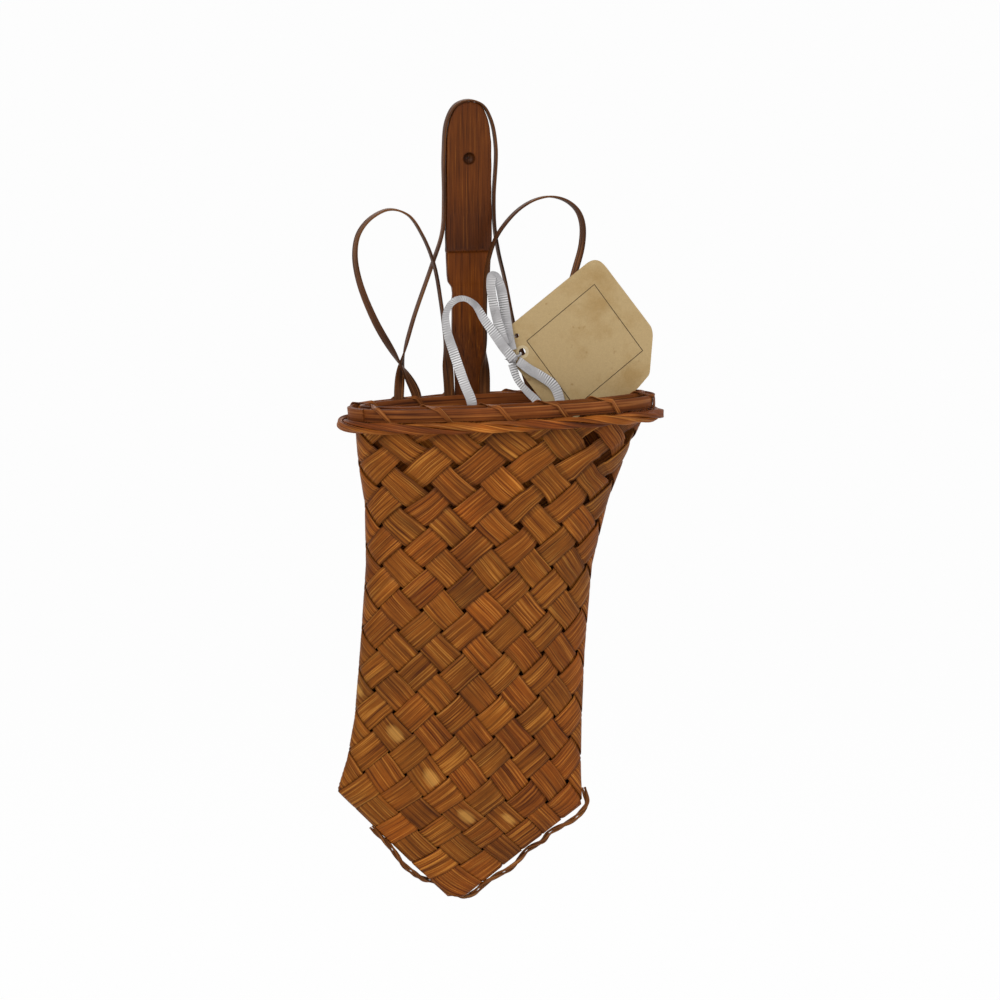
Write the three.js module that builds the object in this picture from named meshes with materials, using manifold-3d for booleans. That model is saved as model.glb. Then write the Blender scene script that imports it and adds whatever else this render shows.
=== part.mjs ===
// Wall pocket basket: a tall bag plaited from flat splints, hung on a nail by a bamboo stake.
// Millimetres, +Z up, the front faces -Y. The origin lies on the stake's back face, under the nail hole.
import * as THREE from 'three';
import Module from 'manifold-3d';

// Bag: widths and depths at the V corners, the waist and the rim line, then heights.
const CORNER_W = 125.3;
const WAIST_W = 114;
const RIM_W = 148;
const CORNER_DEPTH = 19;
const WAIST_DEPTH = 40;
const RIM_DEPTH = 65;
const RIM_Z = -116;
const BAG_H = 194;
const POINT_H = 51.5;

// Woven wall. Levels count crossings up from the tip of the V bottom.
const FOLDS = 6;
const TOP_LEVEL = 24;
const BACK_Y = -10.5;
const SPLINT_T = 0.5;
const WEAVE_AMP = 0.45;
const SPLINT_LAP = 0.012;
const FOLD_OUT = 0.4;
const WEAVE_HALF = WEAVE_AMP + SPLINT_T / 2;

// Rim: two hoops clamp the wall, a lashing winds round both, a twisted pair runs below.
const HOOP_LEVEL = 24.51;
const HOOP_H = 6.6;
const HOOP_OUT_T = 1.8;
const HOOP_IN_T = 1.6;
const HOOP_SEGS = 72;
const RIM_GAP = 0.5;
const LASH_W = 2.4;
const LASH_T = 0.5;
const LASH_GAP = 1;
const TWIST_LEVEL = 24.03;
const TWIST_LEVEL_BACK = 23.75;
const TWIST_TURNS = 7;
const TWIST_W = 3.8;
const TWIST_T = 1.9;
const TWIST_GAP = 0.8;
const TURN_STEPS = 16;

// Stake and the bent strips above the rim.
const STAKE_TOP = 38.4;
const STAKE_W = 23.6;
const STAKE_T = 4;
const TONGUE_T = 2.2;
const TONGUE_GAP = 0.4;
const NAIL_Z = 10;
const PIT_D = 6.3;
const PIT_DEPTH = 2.2;
const NAIL_D = 1.4;
const STRIP_W = 5.4;
const STRIP_T = 1;
const FOOT_GAP = 0.45;
const FOOT_LOW = 24.26;
const FOOT_HIGH = 24.95;
const LOOP_Y = -13;
const HOOP_STRIP_GAP = 0.35;

// Base strands along the V bottom.
const BASE_W = 1.6;
const BASE_T = 1;
const BASE_GAP = 0.5;
const BASE_TURNS = 5;

// Tag and ribbon.
const TAG_Y = -42;
const TAG_T = 0.6;
const EYELET = [17.9, -84.2];
const EYELET_D = 3.6;
const PIN_HOLE = [15, -76];
const PIN_HOLE_D = 2.4;
const RIBBON_W = 5;
const RIBBON_T = 0.4;

const wasm = await Module();
wasm.setup();
const { Manifold, Mesh } = wasm;

const Y_AXIS = new THREE.Vector3(0, 1, 0);
const Z_AXIS = new THREE.Vector3(0, 0, 1);
const group = new THREE.Group();
group.name = 'wall_pocket_basket';

const vec = (x, y, z) => new THREE.Vector3(x, y, z);

const along = (base, direction, distance) => base.clone().addScaledVector(direction, distance);

// Skins a row of rings into one closed body. Each quad is split through its lowest corner.
function skin(rings, closed = false) {
  const sides = rings[0].length;
  const spots = rings.flat();
  const faces = [];
  const spans = closed ? rings.length : rings.length - 1;
  for (let r = 0; r < spans; r += 1) {
    const low = r * sides;
    const high = ((r + 1) % rings.length) * sides;
    for (let s = 0; s < sides; s += 1) {
      const quad = [low + s, low + ((s + 1) % sides), high + ((s + 1) % sides), high + s];
      const heights = quad.map((i) => spots[i].z);
      const first = heights.indexOf(Math.min(...heights)) % 2;
      faces.push(quad[first], quad[first + 1], quad[first + 2]);
      faces.push(quad[first], quad[first + 2], quad[(first + 3) % 4]);
    }
  }
  if (!closed) {
    const last = (rings.length - 1) * sides;
    for (let s = 1; s < sides - 1; s += 1) {
      faces.push(0, s + 1, s);
      faces.push(last, last + s, last + s + 1);
    }
  }
  let volume = 0;
  for (let f = 0; f < faces.length; f += 3) {
    const cross = spots[faces[f + 1]].clone().cross(spots[faces[f + 2]]);
    volume += spots[faces[f]].dot(cross);
  }
  if (volume < 0) {
    faces.reverse();
  }
  const geometry = new THREE.BufferGeometry().setFromPoints(spots);
  geometry.setIndex(faces);
  geometry.computeVertexNormals();
  return geometry;
}

function add(name, geometry, color) {
  const material = new THREE.MeshStandardMaterial({ color, roughness: 0.7 });
  material.name = name;
  const mesh = new THREE.Mesh(geometry, material);
  mesh.name = name;
  group.add(mesh);
}

// Flat strip swept along points; across gives the direction of its width at each point.
function band(points, across, width, thick, closed = false) {
  const count = points.length;
  const rings = points.map((point, i) => {
    const before = closed ? (i + count - 1) % count : Math.max(i - 1, 0);
    const after = closed ? (i + 1) % count : Math.min(i + 1, count - 1);
    const tangent = points[after].clone().sub(points[before]).normalize();
    const wide = along(across[i], tangent, -tangent.dot(across[i])).normalize();
    const face = tangent.cross(wide);
    return [[1, 1], [1, -1], [-1, -1], [-1, 1]].map(([w, t]) => (
      along(along(point, wide, (w * width) / 2), face, (t * thick) / 2)
    ));
  });
  return skin(rings, closed);
}

// Level, half width, half depth, middle X, height Z, sideways slope, splint width over pitch.
const CORNER_Z = RIM_Z - BAG_H;
const WALL = [[0, 3.5, 2.4, -9.4, CORNER_Z - POINT_H, -0.06, 0.9]];

// A size at a step between the V corners (0), the waist (1) and the rim line (2).
function sizeAt(step, sizes) {
  const low = step < 1 ? 0 : 1;
  return THREE.MathUtils.lerp(sizes[low], sizes[low + 1], step - low);
}

// Level, width step, depth step, middle X, share of the bag's height, sideways slope, width over pitch.
for (const [at, wide, deep, midX, rise, slope, cover] of [
  [6, 0, 0, -8.8, 0, -0.081, 0.885],
  [7.5, 0.52, 0.24, -7.2, 0.088, -0.07, 0.87],
  [9.5, 0.85, 0.57, -6, 0.198, -0.06, 0.86],
  [13, 1, 1, -4.8, 0.392, -0.04, 0.85],
  [17, 1.02, 1.28, -2.3, 0.613, -0.02, 0.84],
  [20, 1.28, 1.52, 0.9, 0.778, 0, 0.82],
  [22, 1.64, 1.76, 3, 0.889, 0.013, 0.8],
  [24, 2, 2, 6.8, 1, 0.026, 0.77],
  [25, 2.118, 2.08, 7.5, 1.054, 0.026, 0.77],
]) {
  const halfX = sizeAt(wide, [CORNER_W, WAIST_W, RIM_W]) / 2;
  const halfY = sizeAt(deep, [CORNER_DEPTH, WAIST_DEPTH, RIM_DEPTH]) / 2;
  WALL.push([at, halfX, halfY, midX, CORNER_Z + rise * BAG_H, slope, cover]);
}
const levels = WALL.map((row) => row[0]);
const wallAt = new THREE.LinearInterpolant(levels, WALL.flatMap((row) => row.slice(1)), 6);

function level(h) {
  const [halfX, halfY, midX, z, slope, cover] = wallAt.evaluate(h);
  return { halfX, halfY, midX, z, slope, cover };
}

// Point on the wall's middle surface: side 1 is the front and -1 the back, across runs -1 to 1.
function wallPoint(side, across, h) {
  const at = level(h);
  const half = new THREE.EllipseCurve(0, 0, at.halfX, at.halfY, Math.PI, 2 * Math.PI);
  half.arcLengthDivisions = 80;
  const e = half.getPointAt(THREE.MathUtils.clamp((across + 1) / 2, 0, 1));
  return vec(at.midX + e.x, BACK_Y - at.halfY + side * e.y, at.z + at.slope * e.x);
}

// Point on the back of the wall straight behind a given X, moved outward by a distance.
function backPoint(x, h, out) {
  const at = level(h);
  const ex = (x - at.midX) / at.halfX;
  const ey = Math.sqrt(1 - ex * ex);
  const normal = vec(ex / at.halfX, ey / at.halfY, 0).normalize();
  return along(vec(x, BACK_Y - at.halfY + at.halfY * ey, at.z + at.slope * (x - at.midX)), normal, out);
}

// Plaiting grid: a splint of one set lies at p, of the other set at q; past a side edge it changes face.
function woven(side, p, q) {
  const h = p + q;
  let x = p - q;
  let face = side;
  while (Math.abs(x) > FOLDS) {
    x = Math.sign(x) * 2 * FOLDS - x;
    face = -face;
  }
  return wallPoint(face, x / Math.min(h, FOLDS), h);
}

function crossing(side, p, q) {
  const half = level(p + q).cover / 2;
  const upright = woven(side, p + half, q + half).sub(woven(side, p - half, q - half));
  const sideways = woven(side, p + half, q - half).sub(woven(side, p - half, q + half));
  const normal = upright.cross(sideways).normalize();
  const at = level(p + q);
  const outward = woven(side, p, q).sub(vec(at.midX, BACK_Y - at.halfY, at.z));
  if (normal.dot(outward) < 0) {
    normal.negate();
  }
  return { half, normal };
}

// One splint: down one face from the rim, round the V edge, up the other face. turn 1 folds at the right.
function splint(index, turn) {
  const own = index + 0.5;
  const place = (side, lateral, run) => (turn > 0 ? woven(side, lateral, run) : woven(side, run, lateral));
  const climb = (side) => {
    const rings = [];
    for (let k = 0; index + k + 1 <= TOP_LEVEL; k += 1) {
      const run = k + 0.5;
      const { half, normal } = turn > 0 ? crossing(side, own, run) : crossing(side, run, own);
      const lift = turn * side * (-1) ** (index + k) * WEAVE_AMP;
      for (const step of [-1, 1]) {
        const edges = [-1, 1].map((e) => place(side, own + e * half, run + step * (half + SPLINT_LAP)));
        const outer = edges.map((edge) => along(edge, normal, lift + SPLINT_T / 2));
        const inner = edges.map((edge) => along(edge, normal, lift - SPLINT_T / 2));
        rings.push([outer[0], outer[1], inner[1], inner[0]]);
      }
    }
    return rings;
  };
  const half = level(own).cover / 2;
  const edges = [own - half, own + half].map((lateral) => place(1, lateral, 0));
  const outward = edges[1].clone().sub(edges[0]).cross(Y_AXIS).normalize().multiplyScalar(-turn);
  const outer = edges.map((edge) => along(edge, outward, FOLD_OUT + SPLINT_T / 2));
  const inner = edges.map((edge) => along(edge, outward, FOLD_OUT - SPLINT_T / 2));
  const fold = [outer[0], outer[1], inner[1], inner[0]];
  return skin([...climb(1).reverse(), fold, ...climb(-1)]);
}

for (let i = 0; i < FOLDS; i += 1) {
  add(`splint_right_${i + 1}`, splint(i, 1), 0x8a5a2a);
  add(`splint_left_${i + 1}`, splint(i, -1), 0x7d4f24);
}

// Rim position s runs clockwise from above, from the left end along the back (0 to 12), then the front.
const RIM_LENGTH = 4 * FOLDS;

function rimFrame(s, h) {
  const turn = THREE.MathUtils.euclideanModulo(s, RIM_LENGTH);
  const side = turn <= 2 * FOLDS ? -1 : 1;
  const across = side < 0 ? turn / FOLDS - 1 : 3 - turn / FOLDS;
  const point = wallPoint(side, across, h);
  const up = wallPoint(side, across, h + 0.3).sub(wallPoint(side, across, h - 0.3)).normalize();
  const at = level(h);
  const out = vec((point.x - at.midX) / at.halfX ** 2, (point.y - BACK_Y + at.halfY) / at.halfY ** 2, 0);
  out.addScaledVector(up, -up.dot(out)).normalize();
  const swell = side < 0 ? 1 - THREE.MathUtils.smoothstep(Math.abs(point.x), 10, 28) : 0;
  return { point, up, out, bulge: swell * (TONGUE_T + TONGUE_GAP + BACK_Y - point.y) };
}

const hoopOutAt = WEAVE_HALF + RIM_GAP + HOOP_OUT_T / 2;
const hoopInAt = -(WEAVE_HALF + 2 * FOOT_GAP + STRIP_T + HOOP_IN_T / 2);
const ringSteps = (count) => Array.from({ length: count }, (_, i) => (i * RIM_LENGTH) / count);

const hoopFrames = ringSteps(HOOP_SEGS).map((s) => rimFrame(s, HOOP_LEVEL));
const hoopUps = hoopFrames.map((f) => f.up);
const hoopInner = hoopFrames.map((f) => along(f.point, f.out, hoopInAt));
const hoopOuter = hoopFrames.map((f) => along(f.point, f.out, hoopOutAt + f.bulge));
add('rim_hoop_inner', band(hoopInner, hoopUps, HOOP_H, HOOP_IN_T, true), 0x74452a);
add('rim_hoop_outer', band(hoopOuter, hoopUps, HOOP_H, HOOP_OUT_T, true), 0x74452a);

// Lashing: one strip wound round both hoops, through the open notches between the splints' ends.
function lashing() {
  const faceOut = hoopOutAt + HOOP_OUT_T / 2;
  const faceIn = hoopInAt - HOOP_IN_T / 2;
  const mid = (faceOut + faceIn) / 2;
  const half = HOOP_H / 2;
  const high = half + LASH_GAP;
  const turn = [
    [mid, -high, 0], [faceOut, -high, 0.11], [faceOut + LASH_GAP, -half, 0.146],
    [faceOut + LASH_GAP, 0, 0.25], [faceOut + LASH_GAP, half, 0.354], [faceOut, high, 0.39],
    [mid, high, 0.5], [faceIn, high, 0.61], [faceIn - LASH_GAP, half, 0.646],
    [faceIn - LASH_GAP, 0, 0.75], [faceIn - LASH_GAP, -half, 0.854], [faceIn, -high, 0.89],
  ];
  const points = [];
  const across = [];
  for (let start = 6; start <= 28; start += 2) {
    for (const [out, up, part] of turn) {
      const s = start + 2 * part;
      if (s > 6.2 && s < 28.75) {
        const f = rimFrame(s, HOOP_LEVEL);
        const swell = out > mid ? f.bulge : 0;
        points.push(along(along(f.point, f.out, out + swell), f.up, up));
        const normal = along(f.out.clone().multiplyScalar(out - mid), f.up, up);
        across.push(normal);
      }
    }
  }
  const wide = across.map((normal, i) => {
    const before = points[Math.max(i - 1, 0)];
    const after = points[Math.min(i + 1, points.length - 1)];
    return after.clone().sub(before).cross(normal).normalize();
  });
  return band(points, wide, LASH_W, LASH_T);
}
add('rim_lashing', lashing(), 0x8c5a32);

// Two strips twisted round each other along a path; phase sets which of the pair this is.
function twisted(path, outs, ups, turns, phase, width, thick, gap, closed) {
  const arm = (thick + gap) / 2;
  const points = [];
  const across = [];
  path.forEach((point, i) => {
    const angle = phase + (2 * Math.PI * turns * i) / (closed ? path.length : path.length - 1);
    const radial = along(outs[i].clone().multiplyScalar(Math.cos(angle)), ups[i], Math.sin(angle));
    points.push(along(point, radial, arm));
    across.push(along(outs[i].clone().multiplyScalar(-Math.sin(angle)), ups[i], Math.cos(angle)));
  });
  return band(points, across, width, thick, closed);
}

const twistR = Math.hypot(TWIST_T + TWIST_GAP / 2, TWIST_W / 2);
const twistOut = hoopOutAt + HOOP_OUT_T / 2 + LASH_GAP + LASH_T / 2 + 0.35;
const twistFrames = ringSteps(TWIST_TURNS * TURN_STEPS).map((s) => {
  const behind = THREE.MathUtils.smoothstep(2 * FOLDS - Math.abs(2 * s - 2 * FOLDS), 1.6, 6);
  const frame = rimFrame(s, THREE.MathUtils.lerp(TWIST_LEVEL, TWIST_LEVEL_BACK, behind));
  return { ...frame, reach: THREE.MathUtils.lerp(twistOut, WEAVE_HALF + RIM_GAP, behind) + twistR };
});
const twistPath = twistFrames.map((f) => along(f.point, f.out, f.reach + f.bulge));
const twistOuts = twistFrames.map((f) => f.out);
const twistUps = twistFrames.map((f) => f.up);
['rim_twist_a', 'rim_twist_b'].forEach((name, i) => {
  const strand = twisted(
    twistPath, twistOuts, twistUps, TWIST_TURNS, i * Math.PI, TWIST_W, TWIST_T, TWIST_GAP, true,
  );
  add(name, strand, i ? 0x8c4b1e : 0xa55f23);
});

// Stake: flat slat, rounded top, nail hole in a worn pit, node band, notch, then a thinner tongue bent in under the outer hoop.
// Height Z, share of the width, front swell. The top hangs on the nail, the rest stands on the rim line.
const STAKE_OUTLINE = [
  [STAKE_TOP, 0.2, 0], [STAKE_TOP - 0.7, 0.4, 0], [STAKE_TOP - 2, 0.55, 0], [STAKE_TOP - 4, 0.67, 0],
  [STAKE_TOP - 8.2, 0.82, 0], [STAKE_TOP - 13.4, 0.93, 0], [STAKE_TOP - 20.4, 0.985, 0],
  [RIM_Z + 99, 1, 0], [RIM_Z + 96, 1, 0.3], [RIM_Z + 82, 1, 0.6], [RIM_Z + 79.6, 1.008, 0.9],
  [RIM_Z + 78.6, 0.975, 0], [RIM_Z + 68, 0.932, 0], [RIM_Z + 64, 0.881, 0], [RIM_Z + 61.5, 0.729, 0],
  [RIM_Z + 58, 0.695, 0], [RIM_Z + 55, 0.72, 0], [RIM_Z + 46, 0.72, 0],
];
const TONGUE_BEND = [[38, 0.1], [30, 0.35], [22, 0.7], [16, 0.92], [11, 1]];
const TONGUE_END = [[-16, 0.703], [-26, 0.627], [-33, 0.424]];

function stake() {
  const tongueFront = BACK_Y + WEAVE_HALF + TONGUE_GAP;
  const ring = (z, share, front, back) => {
    const half = (share * STAKE_W) / 2;
    return [vec(-half, front, z), vec(half, front, z), vec(half, back, z), vec(-half, back, z)];
  };
  const rings = STAKE_OUTLINE.map(([z, share, swell]) => ring(z, share, -STAKE_T - swell, 0));
  for (const [rise, part] of TONGUE_BEND) {
    const front = THREE.MathUtils.lerp(-STAKE_T, tongueFront, part);
    const back = THREE.MathUtils.lerp(0, tongueFront + TONGUE_T, part);
    rings.push(ring(RIM_Z + rise, 0.72, front, back));
  }
  for (const [rise, share] of TONGUE_END) {
    rings.push(ring(RIM_Z + rise, share, tongueFront, tongueFront + TONGUE_T));
  }
  const slat = skin(rings);
  const solid = new Manifold(new Mesh({
    numProp: 3,
    vertProperties: new Float32Array(slat.attributes.position.array),
    triVerts: new Uint32Array(slat.index.array),
  }));
  const drill = Manifold.cylinder(4 * STAKE_T, NAIL_D / 2, NAIL_D / 2, 24, true);
  const pit = Manifold.cylinder(2 * PIT_DEPTH, 0.38 * PIT_D, 0.62 * PIT_D, 24).translate([0, 0, STAKE_T - PIT_DEPTH]);
  const hole = drill.add(pit).rotate([90, 0, 0]).translate([0, 0, NAIL_Z]);
  const cut = solid.subtract(hole).getMesh();
  const geometry = new THREE.BufferGeometry();
  geometry.setAttribute('position', new THREE.BufferAttribute(cut.vertProperties, 3));
  geometry.setIndex(new THREE.BufferAttribute(cut.triVerts, 1));
  return geometry;
}
add('stake', stake(), 0x73411e);

// Bent strip above the rim: both feet lie flat behind the inner hoop, the rest stands on edge.
function bentStrip(footA, footB, middle, steps) {
  const footAt = -(WEAVE_HALF + FOOT_GAP + STRIP_T / 2);
  const feet = [footA, footB].map((x) => [FOOT_LOW, FOOT_HIGH].map((h) => backPoint(x, h, footAt)));
  const knots = [...feet[0], ...middle.map((m) => vec(...m)), ...feet[1].reverse()];
  const curve = new THREE.CatmullRomCurve3(knots, false, 'centripetal');
  const points = curve.getSpacedPoints(steps);
  const flat = points.map((point, i) => {
    const rise = point.z - level(FOOT_HIGH).z;
    const turn = THREE.MathUtils.smoothstep(rise, 0, 28);
    const x = i < steps / 2 ? 1 : -1;
    const end = i < steps / 2 ? points[0] : points[steps];
    const foot = level(FOOT_LOW);
    const slope = (-(end.x - foot.midX) * foot.halfY) / foot.halfX ** 2;
    return vec(x * (1 - turn), x * slope * (1 - turn) + turn, 0);
  });
  return band(points, flat, STRIP_W, STRIP_T);
}

const hoopSide = STAKE_W / 2 + HOOP_STRIP_GAP + STRIP_T / 2;
const hoopY = -STRIP_W / 2 - 0.1;
add('centre_hoop', bentStrip(-40.6, 33.5, [
  [-37, -12.3, RIM_Z + 23], [-30.2, -8, RIM_Z + 45], [-19.4, -3.5, RIM_Z + 72], [-hoopSide - 1.35, hoopY, -27],
  [-hoopSide - 0.2, hoopY, -10], [-hoopSide - 1.35, hoopY, 15], [1.3 - hoopSide, hoopY, STAKE_TOP - 8.4],
  [5.6 - hoopSide, hoopY, STAKE_TOP - 0.9], [0, hoopY, STAKE_TOP + 1.5],
  [hoopSide - 5.4, hoopY, STAKE_TOP - 0.9], [hoopSide - 0.9, hoopY, STAKE_TOP - 8.9],
  [hoopSide + 1.35, hoopY, 15], [hoopSide + 0.3, hoopY, -10], [hoopSide + 0.75, hoopY, -25],
  [hoopSide + 2.55, -3.2, RIM_Z + 79], [18, -5.4, RIM_Z + 65], [23, -8.5, RIM_Z + 43],
  [29.5, -12, RIM_Z + 21],
], 84), 0x50341f);

// Side loops: X and height above the rim line, standing in one plane over the back of the mouth.
const loopPoints = (spots) => spots.map(([x, rise]) => [x, LOOP_Y, RIM_Z + rise]);
add('loop_left', bentStrip(-30.8, -12.8, [
  [-40.2, LOOP_Y - 5.5, RIM_Z + 26.5], [-51.2, LOOP_Y - 3, RIM_Z + 46],
  ...loopPoints([
    [-58.8, 66.3], [-61, 80], [-59.2, 90], [-53.2, 97.6], [-43.4, 102], [-33.7, 99], [-26.5, 89],
    [-20.4, 74], [-16.7, 54], [-14, 31],
  ]),
], 44), 0x50341f);
add('loop_right', bentStrip(6, 40, [
  ...loopPoints([
    [6, 31], [6, 54], [6.8, 71], [10.8, 85], [15.5, 92.6], [23, 100.4], [31.2, 105.2], [39.6, 106.8],
    [47.8, 104.6], [53.6, 99.6], [56.2, 92.8], [56, 82.5], [52.4, 69], [46, 48],
  ]),
  [41.2, LOOP_Y - 1, RIM_Z + 26],
], 44), 0x50341f);

// Base strands: a loose twisted pair round the right corner, along the V, behind the tip and up the left edge.
// Level on the V edge and distance from it.
const BASE_LEFT = [[3.9, 2.4], [3.2, 2.4], [2.6, 3], [2.1, 2.8], [1.6, 2.9]];
const BASE_TIP = [[-25.8, -10.2, 9.4], [-18, -7.8, 7.4], [-11, -7.2, 3.6], [-4.4, -7.4, -0.4]];
const BASE_RIGHT = [
  [0.45, 2.7], [1, 2.6], [1.6, 3.1], [2.2, 2.4], [2.8, 3], [3.4, 3.2], [4, 2.4], [4.6, 2.6], [5.2, 3.2],
  [5.7, 3.4], [6.1, 3.4], [6.5, 2.6],
];

function baseStrand(phase) {
  const leg = (side, spots) => spots.map(([h, reach]) => {
    const rise = wallPoint(1, side, h + 0.4).sub(wallPoint(1, side, h - 0.4));
    return along(wallPoint(1, side, h), vec(side * rise.z, 0, -side * rise.x).normalize(), reach);
  });
  const tip = BASE_TIP.map(([x, y, rise]) => vec(x, y, CORNER_Z - POINT_H + rise));
  const knots = [...leg(-1, BASE_LEFT), ...tip, ...leg(1, BASE_RIGHT)];
  const curve = new THREE.CatmullRomCurve3(knots, false, 'centripetal');
  const path = curve.getSpacedPoints(BASE_TURNS * TURN_STEPS);
  const tangents = path.map((_, i) => curve.getTangentAt(i / (path.length - 1)));
  const outs = tangents.map((tangent) => Y_AXIS.clone().cross(tangent).normalize());
  const ups = tangents.map((tangent, i) => tangent.clone().cross(outs[i]));
  return twisted(path, outs, ups, BASE_TURNS, phase, BASE_W, BASE_T, BASE_GAP, false);
}
add('base_strand_a', baseStrand(0), 0x7a4a24);
add('base_strand_b', baseStrand(Math.PI), 0x6d4020);

// Tag: card with one clipped corner, an eyelet and a pin hole.
function tag() {
  const outline = [
    [10.1, -72.2], [52, -39.9], [55, -38.8], [57.8, -39.4], [60.4, -41.7], [84.5, -73.2], [85.3, -77],
    [83.6, -97], [77.2, -104.2], [45, -127.6], [42.6, -127.8], [6.5, -80.8],
  ];
  const shape = new THREE.Shape(outline.map(([x, z]) => new THREE.Vector2(x, z)));
  for (const [spot, diameter] of [[EYELET, EYELET_D], [PIN_HOLE, PIN_HOLE_D]]) {
    const rim = Array.from({ length: 20 }, (_, k) => {
      const angle = (k * Math.PI) / 10;
      const reach = diameter / 2;
      return new THREE.Vector2(spot[0] + reach * Math.cos(angle), spot[1] + reach * Math.sin(angle));
    });
    shape.holes.push(new THREE.Path(rim));
  }
  const card = new THREE.ExtrudeGeometry(shape, { depth: TAG_T, bevelEnabled: false });
  return card.rotateX(Math.PI / 2).translate(0, TAG_Y + TAG_T / 2, 0);
}
add('tag', tag(), 0xbea573);

// Knot: a lump in front of the card, a thin neck through the eyelet and a small lump behind.
function knot() {
  const stops = [
    [17.9, -38.9, -84.2, 0.7], [17.9, -39.6, -84.2, 1.9], [17.9, -40.7, -84.2, 1.9],
    [17.9, -41.2, -84.2, 1.1], [17.9, -43, -84.2, 1.1], [16.6, -44.6, -84.8, 1.4],
    [14.8, -45.4, -85.6, 2.6], [12.6, -45.8, -86.4, 3.1], [10.6, -45.8, -87, 2.5], [9.6, -45.8, -87.3, 0.9],
  ];
  const points = stops.map(([x, y, z]) => vec(x, y, z));
  const rings = points.map((point, i) => {
    const before = points[Math.max(i - 1, 0)];
    const after = points[Math.min(i + 1, points.length - 1)];
    const tangent = after.clone().sub(before).normalize();
    const up = along(Z_AXIS, tangent, -tangent.z).normalize();
    const side = tangent.clone().cross(up);
    return Array.from({ length: 8 }, (_, k) => {
      const angle = (k * Math.PI) / 4;
      return along(along(point, up, stops[i][3] * Math.cos(angle)), side, stops[i][3] * Math.sin(angle));
    });
  });
  return skin(rings);
}
add('ribbon_knot', knot(), 0xc8c8cd);

// Ribbon: its face is turned to the front, so its width lies across its path.
function ribbon(spots, steps) {
  const curve = new THREE.CatmullRomCurve3(spots.map((s) => vec(...s)), false, 'centripetal');
  const points = curve.getSpacedPoints(steps);
  const across = points.map((_, i) => {
    const tangent = curve.getTangentAt(i / steps);
    return tangent.clone().cross(vec(0.15, -1, 0.1)).normalize();
  });
  return band(points, across, RIBBON_W, RIBBON_T);
}
add('ribbon_loop', ribbon([
  [13.2, -45.2, -82.9], [12.2, -44.2, -76], [10.8, -43.9, -68], [9, -43.9, -59.6], [6.6, -44.2, -51.4],
  [3.4, -45.4, -45.8], [0.8, -47, -45.4], [-0.6, -48.2, -49.8], [0.6, -48.6, -59], [4, -48.6, -69],
  [8.6, -48.4, -79.6],
], 24), 0xc8c8cd);
add('ribbon_tail_left', ribbon([
  [12.6, -49.6, -86.8], [8.6, -49.9, -81.6], [4.4, -50.4, -75.4], [-2.2, -50.9, -66.8],
  [-8.6, -51.2, -58.7], [-14.8, -51.6, -55.9], [-20.6, -52.8, -57.2], [-24.6, -54.6, -62.5],
  [-25.1, -57, -70.5], [-21.9, -61, -82.7], [-17.7, -66.2, -97.3], [-14.8, -68.5, -105.6],
  [-14, -68.1, -111], [-13.2, -67, -117], [-12.4, -65.6, -126],
], 36), 0xc8c8cd);
add('ribbon_tail_middle', ribbon([
  [12.4, -46.4, -90], [14.2, -47.6, -97.4], [18.6, -48.8, -103.4], [23.6, -50, -108.6], [27.4, -51, -117],
  [29, -51.4, -126],
], 16), 0xc8c8cd);
add('ribbon_tail_right', ribbon([
  [16.5, -46.7, -88.2], [21.6, -46.6, -91.8], [28, -46.6, -95.2], [34.6, -46.8, -100],
  [38.6, -47.4, -106.4], [40.2, -48.4, -115], [40.6, -49.4, -123],
], 16), 0xc8c8cd);

export default group;
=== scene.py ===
import math

import bmesh
import bpy
import numpy as np
from mathutils import Matrix, Vector


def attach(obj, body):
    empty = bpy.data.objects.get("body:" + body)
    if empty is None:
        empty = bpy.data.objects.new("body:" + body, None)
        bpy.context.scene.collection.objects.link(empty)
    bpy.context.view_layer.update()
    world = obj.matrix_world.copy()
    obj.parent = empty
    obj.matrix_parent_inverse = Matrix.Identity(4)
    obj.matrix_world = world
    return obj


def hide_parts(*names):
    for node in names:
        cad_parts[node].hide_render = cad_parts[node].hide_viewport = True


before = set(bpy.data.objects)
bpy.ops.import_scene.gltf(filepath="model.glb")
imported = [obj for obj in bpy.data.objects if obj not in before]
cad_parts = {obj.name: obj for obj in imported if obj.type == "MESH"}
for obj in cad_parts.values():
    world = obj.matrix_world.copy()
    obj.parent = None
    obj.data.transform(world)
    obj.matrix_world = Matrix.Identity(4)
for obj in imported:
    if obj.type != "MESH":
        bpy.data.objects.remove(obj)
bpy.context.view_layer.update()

# Studio: the basket hangs free in a white room, seen a little from its left and from just above the rim.
# A long lens keeps the V bottom and the stake in scale; one large lamp and two weak ones give soft shade.
CAMERA_FAR = 6.95
LAMP_AIM = (0.0, -0.03, -0.17)
FLOOR_Z = -0.52
FLOOR_HALF = 12
scene = bpy.context.scene
scene.view_settings.view_transform = "Standard"


def new_object(name, data):
    thing = bpy.data.objects.new(name, data)
    scene.collection.objects.link(thing)
    return thing


to_camera = Vector((-0.2406, -0.9650, 0.1045)).normalized()
picture_right = Vector((0.9703, -0.2419, 0.0)).normalized()
picture_up = to_camera.cross(picture_right)
middle = picture_right * 0.0165 - picture_up * 0.1615 + to_camera * 0.012
camera_data = bpy.data.cameras.new("photo_camera")
camera_data.lens = 500
camera_data.sensor_width = 36
camera = new_object("photo_camera", camera_data)
turn = Matrix((picture_right, picture_up, to_camera)).transposed()
camera.matrix_world = Matrix.Translation(middle + to_camera * CAMERA_FAR) @ turn.to_4x4()
scene.camera = camera


def lamp(name, spot, size, watts, colour):
    data = bpy.data.lights.new(name, "AREA")
    data.size = size
    data.energy = watts
    data.color = colour
    thing = new_object(name, data)
    thing.location = spot
    thing.rotation_euler = (Vector(LAMP_AIM) - Vector(spot)).to_track_quat("-Z", "Y").to_euler()


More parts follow.
